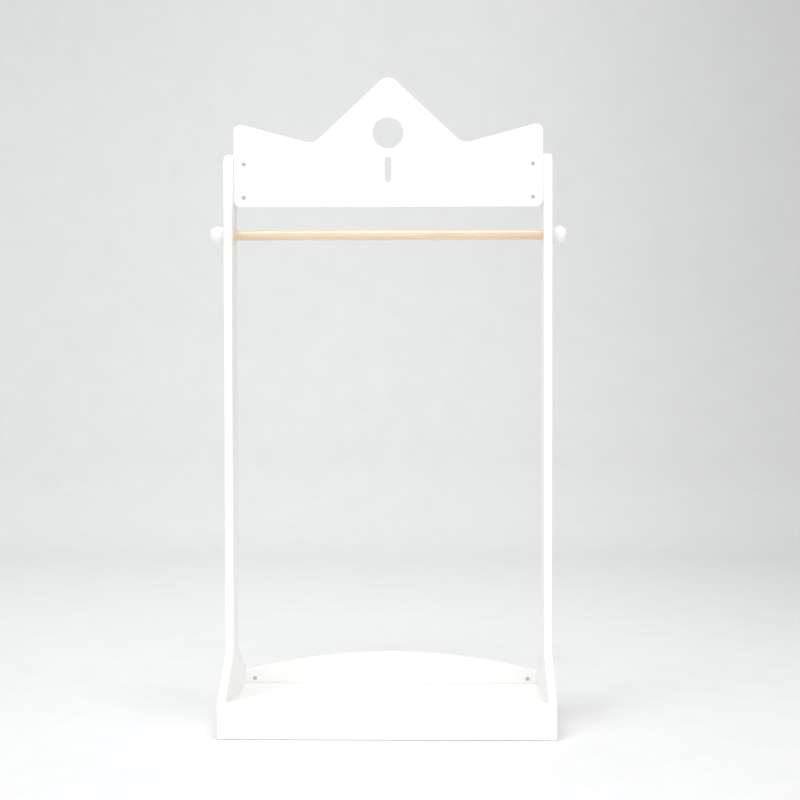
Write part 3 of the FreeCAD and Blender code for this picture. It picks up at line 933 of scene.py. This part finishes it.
stage_axes = add_node(stage_tree, "ShaderNodeSeparateXYZ", {"Vector": stage_place}).outputs
rise = math_node(stage_tree, "DIVIDE", stage_axes["Z"], tone_height)
tone_ramp = add_node(stage_tree, "ShaderNodeValToRGB", {"Fac": rise})
tone_stops = tone_ramp.color_ramp.elements
for height, tone in paper_and_falloff_tones.items():
    tone_stops.new(height / tone_height).color = (*(tone * paper_tint), 1.0)
# The black and the white stop that every new ramp has are taken out
tone_stops.remove(tone_stops[0])
tone_stops.remove(tone_stops[-1])
# Painted light: the floor gets lighter towards the front
painted_front_light = add_node(stage_tree, "ShaderNodeMapRange", {
    "Value": stage_axes["Y"], "From Min": palest_floor, "From Max": sweep_start,
    "To Min": painted_front_lift, "To Max": 1.0}).outputs[0]
# Painted shade: the paper gets darker away from the middle, towards both sides
off_centre = math_node(stage_tree, "SUBTRACT", stage_axes["X"], side_centre)
painted_side_shade = add_node(stage_tree, "ShaderNodeMapRange", {
    "Value": math_node(stage_tree, "ABSOLUTE", off_centre),
    "From Min": side_fall_start, "From Max": side_fall_end,
    "To Min": 1.0, "To Max": side_fall}, interpolation_type="SMOOTHSTEP").outputs[0]
mottle_noise = noise_node(stage_tree, stage_place, mottle_stretch, detail=6.0)
mottle = range_node(stage_tree, mottle_noise, mottle_low, mottle_high)
painted_light_gain = math_node(stage_tree, "MULTIPLY", painted_front_light, painted_side_shade)
stage_gain = math_node(stage_tree, "MULTIPLY", painted_light_gain, mottle)
stage_tone = add_node(stage_tree, "ShaderNodeVectorMath", {
    0: tone_ramp.outputs["Color"], "Scale": stage_gain}, operation="SCALE").outputs["Vector"]
stage_tree.links.new(stage_tone, stage_shader.inputs["Base Color"])
stage_shader.inputs["Roughness"].default_value = paper_roughness
stage_mesh.materials.append(stage_paint)
studio_floor = show("studio_floor", stage_mesh)


def soft_light(name, place, target, size, power, colour=(1.0, 1.0, 1.0), spread=math.pi):
    """Square area light that faces a target and doesn't show itself; a small spread makes a narrow beam."""
    light = bpy.data.lights.new(name, "AREA")
    light.size = size
    light.energy = power
    light.color = colour
    light.spread = spread
    lamp = show(name, light)
    lamp.location = place
    lamp.rotation_euler = (Vector(target) - Vector(place)).to_track_quat("-Z", "Y").to_euler()
    lamp.visible_camera = False


soft_light("key_light", (-2.6, -3.2, 2.8), (0, 0, 0.6), size=2.2, power=49.0, colour=(1.0, 0.995, 0.99))
soft_light("front_light", (0.4, -4.5, 1.3), (0, 0, 0.5), size=2.8, power=26.0, colour=(1.0, 0.995, 0.985))
soft_light("right_light", (3.4, -2.4, 1.5), (0, 0, 0.5), size=3.5, power=29.0, colour=(1.0, 0.985, 0.96))
soft_light("top_light", (0.0, -1.0, 3.4), (0, -0.6, 0.0), size=2.0, power=54.0)
soft_light("wall_light", (-3.0, 1.2, 1.7), (-1.0, 3.3, 1.7), size=1.2, power=22.0)
soft_light("high_wall_light", (0.2, 0.8, 3.2), (-0.2, 3.3, 1.8), size=1.5, power=19.0)
soft_light("corner_light", (1.3, -1.5, 0.9), (-0.28, 0.06, 0.12), size=0.4, power=0.055,
           colour=(1.0, 0.97, 0.92), spread=0.3)
soft_light("floor_reflector", (0.0, -1.7, 0.03), (0.0, -1.7, 1.0), size=2.4, power=3.0)
air_colour = (0.99, 1.0, 1.0, 1.0)
air_strength = 0.48
world = bpy.data.worlds.new("studio_air")
world.use_nodes = True
air = world.node_tree.nodes["Background"]
air.inputs["Color"].default_value = air_colour
air.inputs["Strength"].default_value = air_strength
bpy.context.scene.world = world
bpy.context.scene.view_settings.view_transform = "Standard"

image_size = 800
focal_pixels = 1524.94
sensor_width = 36.0
camera_place = (0.0761, -2.7248, 0.647)
camera_forward = Vector((-0.0204, 0.99945, -0.0262))
camera_roll = -0.0015
camera_data = bpy.data.cameras.new("camera")
camera_data.sensor_width = sensor_width
camera_data.lens = focal_pixels / image_size * sensor_width
camera = show("camera", camera_data)
camera.location = camera_place
roll = Matrix.Rotation(camera_roll, 3, "Z").to_quaternion()
camera.rotation_euler = (camera_forward.to_track_quat("-Z", "Y") @ roll).to_euler()
bpy.context.scene.camera = camera
